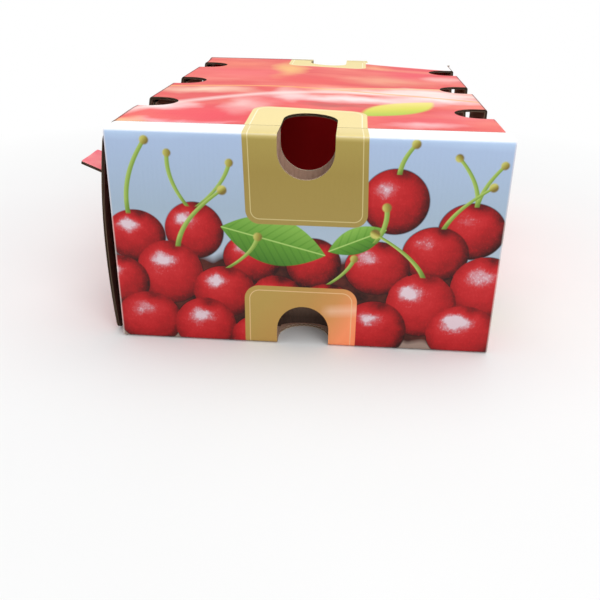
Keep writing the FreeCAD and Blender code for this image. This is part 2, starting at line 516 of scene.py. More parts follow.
# Where the plain face turns dark, and how softly: in the hollow ends, and inside the flap
HOLLOW_SHADE = (378.0, 22.0)
FLAP_SHADE = (206.0, 10.0)


def plain_board(name, light, dark, speck, shade):
    """The unprinted face of the board: pulp fibres, specks and faint flute lines."""
    finish = Finish(name)
    vector, across, along = finish.blank()
    cloudy = finish.noise(finish.stretched(vector, (0.03, 0.03, 1.0)), 1.0, 4.0)
    fibre = finish.noise(finish.stretched(vector, (0.9, 0.22, 1.0)), 1.0, 6.0, 0.7)
    flute = (across * FLUTE_TURN).wave()
    tone = cloudy * 0.5 + fibre * 0.5
    base = finish.ramp(tone, [(0.32, dark), (0.62, light)])
    base = finish.mix(flute.above(0.2, 1.6) * 0.16, base, dark)
    specks = finish.noise(finish.stretched(vector, (1.7, 1.3, 1.0)), 1.0, 2.0, 0.5)
    base = finish.mix(specks.above(0.70, 0.05) * 0.5, base, speck)
    if shade:
        base = finish.mix(abs(along).above(*shade) * 0.9, base, "24140d")
    relief = flute * 0.35 + fibre * 0.5
    rough = 0.78 + fibre * 0.15
    return finish.surface(base, rough, 0.25, relief, 0.00012)


def cut_board(name, dark, pale, hollow, liner):
    """The cut edge: two liners with the wave of the fluting between them."""
    finish = Finish(name)
    vector, along, through = finish.blank()
    wave = 0.5 + (along * FLUTE_TURN).wave() * 0.33
    medium = abs(through - wave).below(0.10, 0.06)
    liners = abs(through - 0.5).above(0.385, 0.05)
    paper = medium.most(liners)
    fray = finish.noise(finish.stretched(vector, (1.2, 3.0, 1.0)), 1.0, 4.0, 0.6)
    base = finish.mix(paper, hollow, finish.ramp(fray, [(0.3, dark), (0.7, pale)]))
    base = finish.mix(through.below(0.16, 0.08) * 0.85, base, liner)
    return finish.surface(base, 0.8 + fray * 0.12, 0.2, paper + fray * 0.4, 0.0003)


# Print

GOLD = "9e8844"
# Pale gold painted on the rim's top as light from above
GOLD_PAINTED_LIGHT = "e4d088"
SKY = "a1b4c6"

# Depth in metres of the print's relief
PRINT_RELIEF = 0.00006

# How far inside a gold field's edge its thin line runs
GOLD_LINE = 2.7

# How far up the end's blank its print ends, past the rim
RIM_PRINT_END = 134.5


def gloss(finish, vector, roughness=0.34):
    """Roughness and relief shared by every printed and varnished face."""
    smear = finish.noise(finish.stretched(vector, (0.02, 0.035, 1.0)), 1.0, 3.0)
    grain = finish.noise(finish.stretched(vector, (1.5, 1.5, 1.0)), 1.0, 2.0)
    _, across, _ = finish.blank()
    washboard = (across * FLUTE_TURN).wave()
    rough = roughness + smear * 0.16
    relief = grain * 0.25 + washboard * 0.12 + smear * 4.0
    return rough, relief


def rounded_field(finish, across, up, low, high, radius):
    """Signed distance in millimetres to a field with round corners, below 0 inside."""
    middle = ((low[0] + high[0]) / 2, (low[1] + high[1]) / 2)
    half = ((high[0] - low[0]) / 2 - radius, (high[1] - low[1]) / 2 - radius)
    reach_u = abs(across - middle[0]) - half[0]
    reach_v = abs(up - middle[1]) - half[1]
    out_u = reach_u.most(0.0)
    out_v = reach_v.most(0.0)
    corner = (out_u * out_u + out_v * out_v).root()
    return corner + reach_u.most(reach_v).least(0.0) - radius


# Round fruit on the end panels: across, up, radius, tone, and 1 for the broad ones
FRUIT = (
    (-88, 60, 16.0, 0.05, 1), (-57, 64, 15.5, 0.00, 0), (84, 69, 17.0, 0.06, 1), (45, 83, 17.0, 0.02, 0),
    (-27, 50, 15.5, 0.08, 1), (5, 48, 14.5, 0.12, 0), (67, 56, 17.0, 0.04, 1), (-71, 40, 18.0, -0.05, 0),
    (-99, 34, 16.5, 0.04, 1), (38, 47, 17.0, 0.00, 1), (94, 38, 18.0, -0.03, 0), (-42, 30, 17.0, 0.02, 1),
    (62, 27, 18.5, -0.06, 0), (-84, 12, 18.0, -0.02, 1), (-14, 26, 15.0, 0.10, 0), (13, 24, 15.0, 0.12, 1),
    (-53, 9, 17.0, -0.04, 0), (-23, 3, 16.0, 0.06, 1), (38, 11, 17.5, 0.02, 0), (85, 11, 19.0, -0.05, 1),
)

# Stems: foot across and up, tip across and up, bow to one side, half thickness
STEMS = (
    (-91, 72, -80, 110, -4.0, 1.0), (-60, 77, -69, 104, -3.0, 0.9), (-55, 77, -38, 100, 3.0, 0.9),
    (-66, 55, -42, 86, -5.0, 1.1), (46, 97, 53, 112, -1.5, 1.0), (85, 82, 74, 106, 3.0, 0.9),
    (85, 82, 96, 103, -2.0, 0.9), (70, 70, 92, 92, -3.0, 1.0), (36, 61, 41, 80, 2.0, 1.0),
    (-40, 44, -24, 62, 3.0, 1.0), (62, 43, 36, 66, 4.0, 1.1), (13, 37, 26, 52, 2.0, 0.9),
)

# Leaves: middle across and up, turn in degrees, half length, half width
LEAVES = ((-16, 60, -14, 28, 13.0), (27, 62, 24, 16, 7.0))


# How much flatter the broad fruit are, and how far the lights on all of them are stretched
BROAD = 1.13
LIGHT_STRETCH = (0.8, 1.5)


def warped(finish, vector, scale, amount):
    """The blank's place pushed about by a slow noise, for edges that aren't drawn by rule."""
    values = {"Vector": vector, "Scale": scale, "Detail": 3.0}
    spread = finish.node("ShaderNodeTexNoise", None, values).outputs["Color"]
    centred = finish.vectors("SUBTRACT", spread, (0.5, 0.5, 0.5)).outputs["Vector"]
    pushed = finish.stretched(centred, (amount, amount, 0.0))
    return finish.vectors("ADD", vector, pushed).outputs["Vector"]


def one_fruit(finish, vector, broad, lights, index, fruit):
    """Cover and shade of one fruit: darker at its rim and dimple, with a light of its own."""
    across, up, radius, tone, wide = fruit
    turn = 0.30 * math.sin(index * 2.3)
    gleam = 0.24 + 0.09 * math.sin(index * 1.7 + 1)
    spread = 0.30 + 0.07 * math.cos(index * 1.3)
    space = broad if wide else vector
    height = up * BROAD if wide else up
    from_middle = finish.distance(space, (across, height))
    rim = from_middle.above(radius * 0.86, radius * 0.36)
    light = finish.distance(space, (across - radius * 0.25, height + radius * 0.30))
    dimple = finish.distance(space, (across + radius * 0.12, height + radius * 0.80))
    spot_across = (across - radius * (0.22 + turn)) * LIGHT_STRETCH[0]
    spot_up = (up + radius * 0.42) * LIGHT_STRETCH[1]
    spot = finish.distance(lights, (spot_across, spot_up))
    shade = light * (0.42 / radius) + dimple.below(radius * 0.2, radius * 0.3) * 0.25
    shade = shade + rim * 0.20 + (0.24 + tone)
    shade = shade - spot.below(radius * spread, radius * 0.5) * gleam
    shade = shade - spot.below(radius * 0.8, radius * 0.9) * 0.07
    return from_middle.below(radius, 0.7), shade


def paint_fruit(finish, vector, base):
    """A heap of round glossy fruit, laid on from back to front."""
    broad = finish.stretched(vector, (1.0, BROAD, 1.0))
    lights = finish.stretched(warped(finish, vector, 0.22, 7.0), (*LIGHT_STRETCH, 1.0))
    cover, shade = one_fruit(finish, vector, broad, lights, 0, FRUIT[0])
    for index, fruit in enumerate(FRUIT[1:], start=1):
        mask, own = one_fruit(finish, vector, broad, lights, index, fruit)
        shade = finish.blend_number(mask, shade, own)
        cover = cover.most(mask)
    mottle = finish.noise(finish.stretched(vector, (0.16, 0.20, 1.0)), 1.0, 5.0, 0.65)
    fleck = finish.noise(finish.stretched(vector, (0.9, 0.6, 1.0)), 1.0, 2.0, 0.5)
    shade = shade + (mottle - 0.5) * 0.36 - fleck.above(0.60, 0.14) * 0.07
    skin = finish.ramp(shade, [
        (0.00, "ddc6ce"), (0.09, "cf8f97"), (0.18, "c84f54"), (0.28, "c6282c"),
        (0.46, "b81a1f"), (0.66, "9a1216"), (0.84, "660c0e"), (1.0, "2c0706"),
    ])
    return finish.mix(cover, base, skin)


def paint_stem(finish, vector, across, up, base, stem):
    """One thin bowed stem with a round knob at its tip."""
    foot_u, foot_v, tip_u, tip_v, bow, thick = stem
    along = (up - foot_v) * (1 / (tip_v - foot_v))
    line = foot_u + along * (tip_u - foot_u) + along * (1 - along) * (4 * bow)
    off = across - line
    knob = finish.distance(vector, (tip_u, tip_v)).below(thick * 2.3, 0.8)
    mask = abs(off).below(thick * 1.25, 0.5) * along.between(0.0, 1.0, 0.03)
    tone = off.above(0.0, 1.8) * 0.5 + along.below(0.12, 0.15) * 0.35
    green = finish.ramp(tone, [(0.0, "a9c263"), (0.45, "7d9c3f"), (1.0, "55702a")])
    base = finish.mix(mask, base, green)
    tip = finish.ramp(off.above(0.0, 4.0), [(0.0, "c6c268"), (0.6, "9a8f3c"), (1.0, "7c6a30")])
    return finish.mix(knob, base, tip)


def paint_leaf(finish, across, up, base, leaf):
    """A pointed leaf with a midrib and side veins."""
    middle_u, middle_v, turn, half_length, half_width = leaf
    cos, sin = math.cos(math.radians(turn)), math.sin(math.radians(turn))
    along = ((across - middle_u) * cos + (up - middle_v) * sin) * (1 / half_length)
    off = (up - middle_v) * cos - (across - middle_u) * sin
    width = (1 - along * along) * half_width
    mask = (abs(off) - width).below(0.0, 0.6) * abs(along).below(1.0, 0.02)
    veins = ((abs(off) * 0.9 - along * half_length) * 1.35).wave().above(0.75, 0.4)
    tone = off * (0.35 / half_width) + 0.5 - veins * 0.10
    green = finish.ramp(tone, [(0.1, "3c7020"), (0.45, "5c9230"), (0.8, "84b44c")])
    green = finish.mix(abs(off).below(0.35, 0.4), green, "a4c86a")
    return finish.mix(mask, base, green)


def end_backdrop(finish, vector, up, cloud):
    """Pale sky over the dark between the fruit, and a plain ground."""
    sky_stops = [(0.30, "b4c0cc"), (0.62, SKY), (0.92, "a9bddb"), (0.955, "b6cdea")]
    base = finish.ramp(up * (1 / 120) + (cloud - 0.5) * 0.10, sky_stops)
    edge = up + finish.noise(finish.stretched(vector, (0.05, 0.0, 0.0)), 1.0, 2.0) * 14
    shadow = finish.ramp(finish.noise(vector, 0.08, 4.0, 0.6), [(0.35, "1d0604"), (0.65, "57231a")])
    base = finish.mix(edge.below(58, 5), base, shadow)
    return finish.mix(edge.below(12, 3), base, "9b8579")


def upper_gold(finish, across, up, cloud, base):
    """Gold field round the finger hole, which runs over the rim, where painted light turns it pale."""
    # Painted light: the gold turns pale over the rim's top, lit from above
    stops = [(0.44, "a18b4a"), (0.60, GOLD), (0.700, "a8944c"), (0.722, GOLD_PAINTED_LIGHT), (0.80, "ead796")]
    gold = finish.ramp(up * (1 / 160) + (cloud - 0.5) * 0.01, stops)
    lean = across + (up - 80) * 0.035
    field = rounded_field(finish, lean, up, (-30.4, 69.0), (31.6, 180.0), 7.0)
    base = finish.mix(field.below(0.0, 0.3), base, gold)
    line = abs(field + GOLD_LINE).below(0.22, 0.25) * up.below(131, 1.0)
    # Painted light: the thin gold line is paler over the rim's top
    return finish.mix(line * 0.75, base, finish.mix(up.above(114, 2), "d8c88e", "fff6d6"))


def lower_gold(finish, across, up, base):
    """Gold field round the bottom notch, warmer to the right, with a painted reflection band."""
    tone = (across - up * 0.6) * (1 / 80) + 0.5
    stops = [(0.05, "b3954e"), (0.34, "ba8f4d"), (0.52, "cc9052"), (0.72, "f79564"), (1.0, "ff8254")]
    gold = finish.ramp(tone, stops)
    # Painted reflection: a pale pink band across the gold's right part
    reflection_band = abs(up - 20 - across * 0.08).below(2.0, 5.0) * across.above(12, 6)
    gold = finish.mix(reflection_band * 0.5, gold, "fbd3b8")
    field = rounded_field(finish, across, up, (-31.4, -40.0), (28.6, 34.6), 8.0)
    base = finish.mix(field.below(0.0, 0.3), base, gold)
    return finish.mix(abs(field + GOLD_LINE).below(0.22, 0.25) * 0.7, base, "ecc998")


def end_wear_and_painted_light(finish, vector, across, up, back, base):
    """Painted highlight along the rim fold, a painted shade line along the back's rim fold, and pale ends
    of the print.
    """
    highlight_breakup = finish.noise(finish.stretched(vector, (0.25, 1.0, 1.0)), 1.0, 3.0)
    # Painted highlight: a broken white line where the rim fold catches the light
    rim_fold_highlight = abs(up - (HEIGHT - 0.4)).below(0.5, 1.0) * highlight_breakup
    base = finish.mix(rim_fold_highlight * 0.35, base, "ffffff")
    # Painted shade: a dark line along the back end's rim fold
    base = finish.mix(back * abs(up - (HEIGHT + 0.4)).below(0.9, 0.6) * 0.6, base, "6b6056")
    sides = abs(across).above(HALF_WIDTH - 0.6, 0.6) * 0.5
    return finish.mix(sides * up.below(HEIGHT, 1.0), base, "efe2dc")


def end_print():
    """Print of the end walls: pale sky, a heap of fruit and two gold fields."""
    finish = Finish("printed end walls")
    _, across, up = finish.blank()
    back = across.above(BACK_PRINT / 2, 1.0)
    across = across - back * BACK_PRINT
    vector = finish.node("ShaderNodeCombineXYZ", None, {0: across, 1: up}).outputs[0]
    cloud = finish.noise(finish.stretched(vector, (0.012, 0.02, 1.0)), 1.0, 3.0)
    base = end_backdrop(finish, vector, up, cloud)
    base = paint_fruit(finish, vector, base)
    for leaf in LEAVES:
        base = paint_leaf(finish, across, up, base, leaf)
    for stem in STEMS:
        base = paint_stem(finish, vector, across, up, base, stem)
    # Painted light: the rim's top is painted near white, its pale print washed out by light from above
    base = finish.mix(up.above(HEIGHT - 0.4, 1.6), base, "fbfbfa")
    base = upper_gold(finish, across, up, cloud, base)
    base = lower_gold(finish, across, up, base)
    inner = finish.mix(cloud, "d0121b", "e61c24")
    base = finish.mix(up.above(RIM_PRINT_END, 0.6), base, inner)
    base = end_wear_and_painted_light(finish, vector, across, up, back, base)
    rough, relief = gloss(finish, vector)
    return finish.surface(base, rough, 0.25, relief, PRINT_RELIEF)


def paint_soft_leaf(finish, across, up, base, leaf):
    """A blurred yellow-green leaf shape without veins."""
    middle_u, middle_v, turn, half_length, half_width = leaf
    cos, sin = math.cos(math.radians(turn)), math.sin(math.radians(turn))
    along = ((across - middle_u) * cos + (up - middle_v) * sin) * (1 / half_length)
    off = (up - middle_v) * cos - (across - middle_u) * sin
    width = (1 - along * along) * half_width
    mask = (abs(off) - width).below(0.0, 3.0) * abs(along).below(1.0, 0.1)
    tone = off * (0.25 / half_width) + along * 0.35 + 0.5
    tint = finish.ramp(tone, [(0.15, "a9cf3c"), (0.5, "dbe050"), (0.85, "f3e47c")])
    return finish.mix(mask * 0.9, base, tint)


def swoosh(finish, vector, centre, radius, width, soft):
    """A long soft band of light along a big circle."""
    return abs(finish.distance(vector, centre) - radius).below(width, soft)


def patch(finish, vector, middle, reach):
    """A soft oval patch, 1 in its middle."""
    shifted = finish.vectors("SUBTRACT", vector, (*middle, 0.0)).outputs["Vector"]
    scaled = finish.stretched(shifted, (1 / reach[0], 1 / reach[1], 0.0))
    return finish.distance(scaled, (0.0, 0.0)).below(0.75, 1.1)


# Soft patches on the lid: middle, reach both ways, colour, amount
LID_PATCHES = (
    ((-60, -112), (38, 22), "ef4b5b", 0.75),
    ((-84, -98), (16, 9), "fdebe9", 0.85),
    ((-40, -84), (14, 24), "fbd9d4", 0.7),
    ((-76, -36), (34, 14), "fbdcbf", 0.8),
    ((-22, -70), (26, 20), "f25f62", 0.6),
    ((-20, -44), (9, 26), "fbe3dd", 0.6),
    ((-62, 40), (40, 34), "f4686a", 0.7),
    ((-70, 92), (36, 26), "f98f6e", 0.6),
    ((-28, 70), (12, 44), "f8cd7c", 0.75),
    ((-6, 14), (28, 20), "ee5450", 0.7),
    ((46, 30), (30, 24), "fbd8a6", 0.35),
    ((66, 70), (30, 40), "ee5563", 0.75),
    ((40, 104), (14, 14), "fbb77e", 0.5),
    ((22, -52), (52, 12), "fdeeec", 0.85),
    ((74, -40), (34, 12), "fdf1ee", 0.85),
    ((12, -74), (24, 7), "ad6158", 0.6),
    ((62, -112), (30, 14), "ea5462", 0.65),
    ((58, -120), (22, 7), "fbc9c9", 0.7),
    ((88, -92), (20, 14), "f28086", 0.6),
    ((-96, -132), (13, 7), "f9c465", 0.9),
    ((-70, -128), (30, 5), "fbc9d0", 0.6),
    ((70, -18), (36, 14), "fdf0e8", 0.85),
    ((30, -24), (36, 10), "fbe6da", 0.7),
    ((88, 44), (14, 14), "fbd0c8", 0.6),
    ((90, 118), (14, 20), "f3606c", 0.6),
)

# Long bands of light on the lid: centre, radius, half width, softness, colour, amount
LID_BANDS = (
    ((60, -220), 196, 3.0, 9.0, "fdf0ea", 0.75),
    ((-30, -330), 312, 1.6, 2.6, "fbb36c", 0.9),
    ((150, 330), 260, 3.0, 14.0, "fbbd92", 0.5),
)

# Soft leaves: middle both ways, turn in degrees, half length, half width
LID_LEAF = (48, -76, 50, 33, 14)
WALL_LEAF = (-96, 12, 20, 22, 7)

# Gold fields at the lid's two ends: one corner and the other, across and along
LID_GOLD = (((-33.0, -200.0), (29.6, -90.0)), ((-31.6, 90.0), (30.4, 200.0)))


def lid_painted_edge_shade(finish, across, along, base):
    """Painted shade: dark lines along the lid's hinge, its left fold and its rear edge."""
    hinge = across.above(SIDE_FACE - 1.7, 0.6) * along.above(-98, 30) * across.below(110, 1.0)
    fold = abs(across + (FLAP_TOP_FACE - 0.6)).below(1.7, 0.6)
    rear = along.above(127.6, 1.6) * across.between(-103, -14, 1.0)
    # Painted shade where the folds and the rear edge fall dark
    return finish.mix(hinge.most(fold).most(rear) * 0.72, base, "54241f")


def flap_and_tab(finish, vector, across, base):
    """The flap's deeper red and the tab's uneven pink."""
    base = finish.mix(across.below(-FLAP_TOP_FACE - 1.2, 1.0) * 0.35, base, "d9404a")
    uneven = finish.noise(finish.stretched(vector, (0.1, 0.06, 1.0)), 1.0, 2.0)
    pink = finish.ramp(uneven, [(0.3, "ee6d7f"), (0.7, "f6a7a2")])
    return finish.mix(across.above(TAB_PRINT - 10, 1.0), base, pink)


def lid_print():
    """Print of the lid and its flap: coral with soft bands of light."""
    finish = Finish("printed lid")
    vector, across, along = finish.blank()
    broad = finish.noise(finish.stretched(vector, (0.014, 0.018, 1.0)), 1.0, 3.0, 0.5)
    streak = finish.noise(finish.stretched(vector, (0.008, 0.04, 1.0)), 1.0, 4.0, 0.6)
    tone = broad * 0.55 + streak * 0.45
    base = finish.ramp(tone, [(0.32, "d8444a"), (0.45, "e55755"), (0.56, "ee7568"), (0.70, "f7a48c")])
    loose = warped(finish, vector, 0.03, 34.0)
    for middle, reach, tint, amount in LID_PATCHES:
        base = finish.mix(patch(finish, loose, middle, reach) * amount, base, tint)
    for centre, radius, width, soft, tint, amount in LID_BANDS:
        band = swoosh(finish, vector, centre, radius, width, soft)
        base = finish.mix(band * amount, base, tint)
    arc = swoosh(finish, vector, (70, -120), 118, 1.8, 4.0) * across.above(4, 30)
    base = finish.mix(arc * 0.8, base, "f8dca0")
    base = paint_soft_leaf(finish, across, along, base, LID_LEAF)
    pale_corner = (along + (across - 17) * 0.443).above(130, 3.0) * across.above(20, 8.0)
    base = finish.mix(pale_corner, base, "fbf6f4")
    for low, high in LID_GOLD:
        # Painted light: the lid's gold fields and their lines are painted pale, as gold lit from above
        field = rounded_field(finish, across, along, low, high, 10.0)
        base = finish.mix(field.below(0.0, 0.3), base, "eedb9c")
        base = finish.mix(abs(field + GOLD_LINE).below(0.24, 0.3) * 0.8, base, "fffae6")
    base = lid_painted_edge_shade(finish, across, along, base)
    base = flap_and_tab(finish, vector, across, base)
    rough, relief = gloss(finish, vector, 0.40)
    return finish.surface(base, rough, 0.25, relief, PRINT_RELIEF)


def side_print():
    """Print of the long walls: red and orange, a brown field and soft light streaks."""
    finish = Finish("printed long walls")
    vector, along, up = finish.blank()
    broad = finish.noise(finish.stretched(vector, (0.012, 0.02, 1.0)), 1.0, 3.0)
    streak = finish.noise(finish.stretched(vector, (0.008, 0.05, 1.0)), 1.0, 4.0, 0.6)
    tone = broad * 0.5 + streak * 0.3 + (along + HALF_LENGTH) * 0.0007
    base = finish.ramp(tone, [(0.32, "d23c3e"), (0.48, "e8564c"), (0.62, "f47c58"), (0.80, "f9a36f")])
    swell = finish.noise(finish.stretched(vector, (0.02, 0.02, 1.0)), 1.0, 2.0)
    field = along + (up - 60) * 0.35 + swell * 10
    brown = finish.ramp(broad * 0.6 + streak * 0.5, [(0.38, "7d3f2c"), (0.52, "a86a45"), (0.66, "c8945c")])
    base = finish.mix(field.below(-62, 3.0), base, brown)
    base = finish.mix(abs(field + 62).below(1.2, 2.0) * 0.7, base, "f9d9b8")
    base = finish.mix(along.below(-128, 5.0) * 0.85, base, "ee6470")
    base = finish.mix(swoosh(finish, vector, (60, -260), 330, 3.0, 9.0) * 0.6, base, "fbd3c0")
    base = finish.mix(swoosh(finish, vector, (0, 420), 372, 2.0, 7.0) * 0.5, base, "fbd3c0")
    base = paint_soft_leaf(finish, along, up, base, WALL_LEAF)
    corner_tabs = abs(along).above(HALF_LENGTH - 0.5, 1.0)
    base = finish.mix(corner_tabs, base, "9c141c")
    rough, relief = gloss(finish, vector, 0.36)
    return finish.surface(base, rough, 0.45, relief, PRINT_RELIEF)


# Pieces

def strip_cuts(hole, notch):
    """Finger holes, bottom notches and the floor's share of the side notches."""
    cuts = []
    for sign in (1, -1):
        for cut in (slot_cut(0, *hole, HAND_HOLE, True, True), slot_cut(0, *notch, CUT_WIDTH, True, True)):
            cuts.append([(u * sign, v * sign) for u, v in cut])
    reach = SIDE_FACE - NOTCH_FLOOR
    edge = SIDE_FACE + PAST_EDGE
    for place in VENTS:
        cuts.append(turned(slot_cut(place, reach, edge, CUT_WIDTH, True, False)))
        cuts.append(turned(slot_cut(place, -edge, -reach, CUT_WIDTH, False, True)))
    return cuts


def tray_strip(finishes):
    """Floor and both hollow end walls, folded from one strip of the blank."""
    path = FoldPath(
        [(0, 0), (HALF_LENGTH, 0), (HALF_LENGTH, HEIGHT), (RIM_BACK, HEIGHT), (RIM_BACK, BOARD)],
        [MAIN_FOLD, MAIN_FOLD, RIM_BACK_FOLD],
    )
    bottom, top, rim_back = path.bends
    base_line = bottom[1] - MAIN_FOLD
    fold_start = bottom[0]
    inner_start = (rim_back[0] + rim_back[1]) / 2
    end = path.length
    hole = (base_line + HEIGHT - HAND_HOLE_DEPTH, end - (HEIGHT - HAND_HOLE_DEPTH - BOARD))
    notch = (HALF_LENGTH - NOTCH_FLOOR, base_line + NOTCH_SIDE)
    arch = []
    for step in range(ARCH_STEPS + 1):
        angle = math.pi * step / ARCH_STEPS
        arch.append((CUT_WIDTH / 2 * math.cos(angle), end - ARCH_RISE * math.sin(angle)))

    def half_outline(sign):
        side = [
            (FLOOR_SEAM, 0), (FLOOR_SEAM, fold_start), (HALF_WIDTH, fold_start), (HALF_WIDTH, inner_start),
            (INNER_WALL_HALF, inner_start), (INNER_WALL_HALF, end),
        ]
        right = rounded(side + [(0, end), (0, 0)], [0, 0, 0, RIM_CORNER, 0, 0, 0, 0])[:-2]
        left = [(-u, v) for u, v in reversed(right)]
        points = right + arch + left
        return points if sign > 0 else [(-u, -v) for u, v in points]

    front = half_outline(1)
    rear = half_outline(-1)
    outline = front[1:-1] + rear[1:-1]
    v_lines = [0.0] + even_lines(GRID, fold_start - GRID) + path.lines()
    for low, high in ((bottom[1], top[0]), (top[1], rim_back[0]), (rim_back[1], end)):
        v_lines += even_lines(low + 2, high - 2)
    v_lines = sorted(v_lines + [-v for v in v_lines if v > 0])
    u_lines = even_lines(-FLOOR_SEAM + 2, FLOOR_SEAM - 2) + [-HALF_WIDTH + 2, HALF_WIDTH - 2]

    def place(u, v):
        point, outward = path.at(abs(v))
        back = math.copysign(1.0, v) * -1
        x, y, z = u, back * point.x, point.y
        bulge = hump(z, HEIGHT / 2, HEIGHT / 2) * hump(u, 0, END_BULGE_REACH)
        if bottom[1] < abs(v) < top[0]:
            y += back * END_BULGE * bulge
        if abs(v) > rim_back[1]:
            y -= back * INNER_END_BULGE * bulge
        return Vector((x, y, z)), Vector((0, back * outward.x, outward.y))

    def print_place(u, v, middle):
        side = 1 if middle > 0 else -1
        return u * side + (BACK_PRINT if side < 0 else 0), abs(v) - base_line

    def face_finish(v):
        return 3 if abs(v) < fold_start else 0

    cuts = strip_cuts(hole, notch)
    name = "tray_floor_and_ends"
    return sheet(name, outline, cuts, u_lines, v_lines, place, print_place, finishes, face_finish)


def long_wall(side, finishes):
    """One long wall of the tray with its bottom fold and its two corner tabs."""
    rise = FoldPath([(FLOOR_SEAM, 0), (SIDE_FACE, 0), (SIDE_FACE, WALL_TOP)], [SIDE_FOLD])
    tab_face = HALF_LENGTH - BOARD
    plan = FoldPath([(0, 0), (0, tab_face), (-TAB_FOLD - BOARD, tab_face)], [SIDE_FOLD])
    ground = rise.bends[0][1] - SIDE_FOLD
    wall_low = rise.bends[0][1]
    top = rise.length
    wall_end = plan.bends[0][0]
    tab_low = ground + BOARD + TAB_FLOOR_GAP
    tab_high = ground + TAB_TOP
    reach = plan.length
    shoulder = wall_end + TAB_SHOULDER
    corners = [
        (wall_end, 0), (wall_end, tab_low), (reach, tab_low), (reach, tab_high),
        (shoulder, tab_high), (shoulder, top), (0, top),
    ]
    right = rounded(corners, [0, 0, TAB_CORNER, TAB_CORNER, 0, 0, 0])[:-1]
    outline = right + [(-u, v) for u, v in reversed(right)]
    cuts = []
    for centre in VENTS:
        vent_low = ground + HEIGHT - VENT_SIDE
        cuts.append(slot_cut(centre, vent_low, top + PAST_EDGE, CUT_WIDTH, True, False))
        cuts.append(slot_cut(centre, -PAST_EDGE, ground + NOTCH_SIDE, CUT_WIDTH, False, True))
    bends = plan.lines()
    u_lines = even_lines(-wall_end + 3, wall_end - 3) + bends + [-u for u in bends]
    outer = even_lines(plan.bends[0][1] + 2, reach - 2)
    u_lines += outer + [-u for u in outer]
    v_lines = rise.lines() + even_lines(wall_low + 2, top - 1)

    def place(u, v):
        spot, plan_out = plan.at(abs(u))
        point, outward = rise.at(v)
        way = math.copysign(1.0, u)
        x = point.x + spot.x
        y = way * spot.y
        if v > wall_low and abs(u) < wall_end:
            x += WALL_BULGE * hump(point.y, WALL_TOP / 2, WALL_TOP / 2) * hump(u, 0, wall_end)
        if side < 0 and v > wall_low:
            lean = max(0.0, lid_pull(-FLAP_TOP_FACE, side * y) - WALL_LEAN_FROM)
            x -= lean * point.y / WALL_TOP
        if v <= wall_low:
            normal = Vector((outward.x, 0, outward.y))
        else:
            normal = Vector((plan_out.x, way * plan_out.y, 0))
        point = Vector((side * x, side * y, point.y))
        return point, Vector((side * normal.x, side * normal.y, normal.z))

    def print_place(u, v, middle):
        return u * side, v - ground

    name = "tray_right_wall" if side > 0 else "tray_left_wall"
    return sheet(name, outline, cuts, u_lines, v_lines, place, print_place, finishes)


def lid_spring(x, y):
    """How far the lid's free left side stands up behind its front corner."""
    return LID_SPRING * ease((y + 130) / 33) * ease((50 - x) / 90)


def lid_pull(x, y):
    """How far the lid's left side is drawn in behind its front corner."""
    reach = LID_PULL * ease((y + 130) / 45) * ease((148 - y) / 45)
    return reach * ease((-20 - x) / 50)


def flap_sway(drop):
    """How far the closing flap bows away from a straight line, from its fold down."""
    return -14.9 * drop + 20.9 * drop ** 2 - 4.4 * drop ** 3


def tab_window(flap_start):
    """The opening that the pushed-out tab leaves in the closing flap."""
    top = flap_start + (HEIGHT - MAIN_FOLD - TONGUE_HEIGHT)
    low = top + TONGUE_REACH
    first, last = TONGUE_START, TONGUE_START + TONGUE_LENGTH
    return [(first, top), (last, top), (last - TONGUE_TAPER, low), (first + TONGUE_TAPER, low)]


def lid_cuts(middle, flap_start, end):
    """Notches at both ends of the lid, and the vents and bottom notches along it."""
    notch_end = LID_HALF_LENGTH - LID_NOTCH_DEPTH
    notch_edge = LID_HALF_LENGTH + PAST_EDGE
    notch = turned(slot_cut(middle, notch_end, notch_edge, HAND_HOLE, True, False))
    cuts = [notch, [(-u, v) for u, v in reversed(notch)]]
    right_end = middle - (SIDE_FACE - VENT_TOP)
    left_top = middle + FLAP_TOP_FACE - VENT_TOP
    left_low = flap_start + (VENT_SIDE - MAIN_FOLD)
    bottom_top = end - (NOTCH_SIDE - FLAP_FOOT)
    for centre in VENTS:
        cuts.append(slot_cut(centre, -PAST_EDGE, right_end, CUT_WIDTH, False, True))
        cuts.append(slot_cut(centre, left_top, left_low, CUT_WIDTH, True, True))
        cuts.append(slot_cut(centre, bottom_top, end + PAST_EDGE, CUT_WIDTH, True, False))
    return cuts


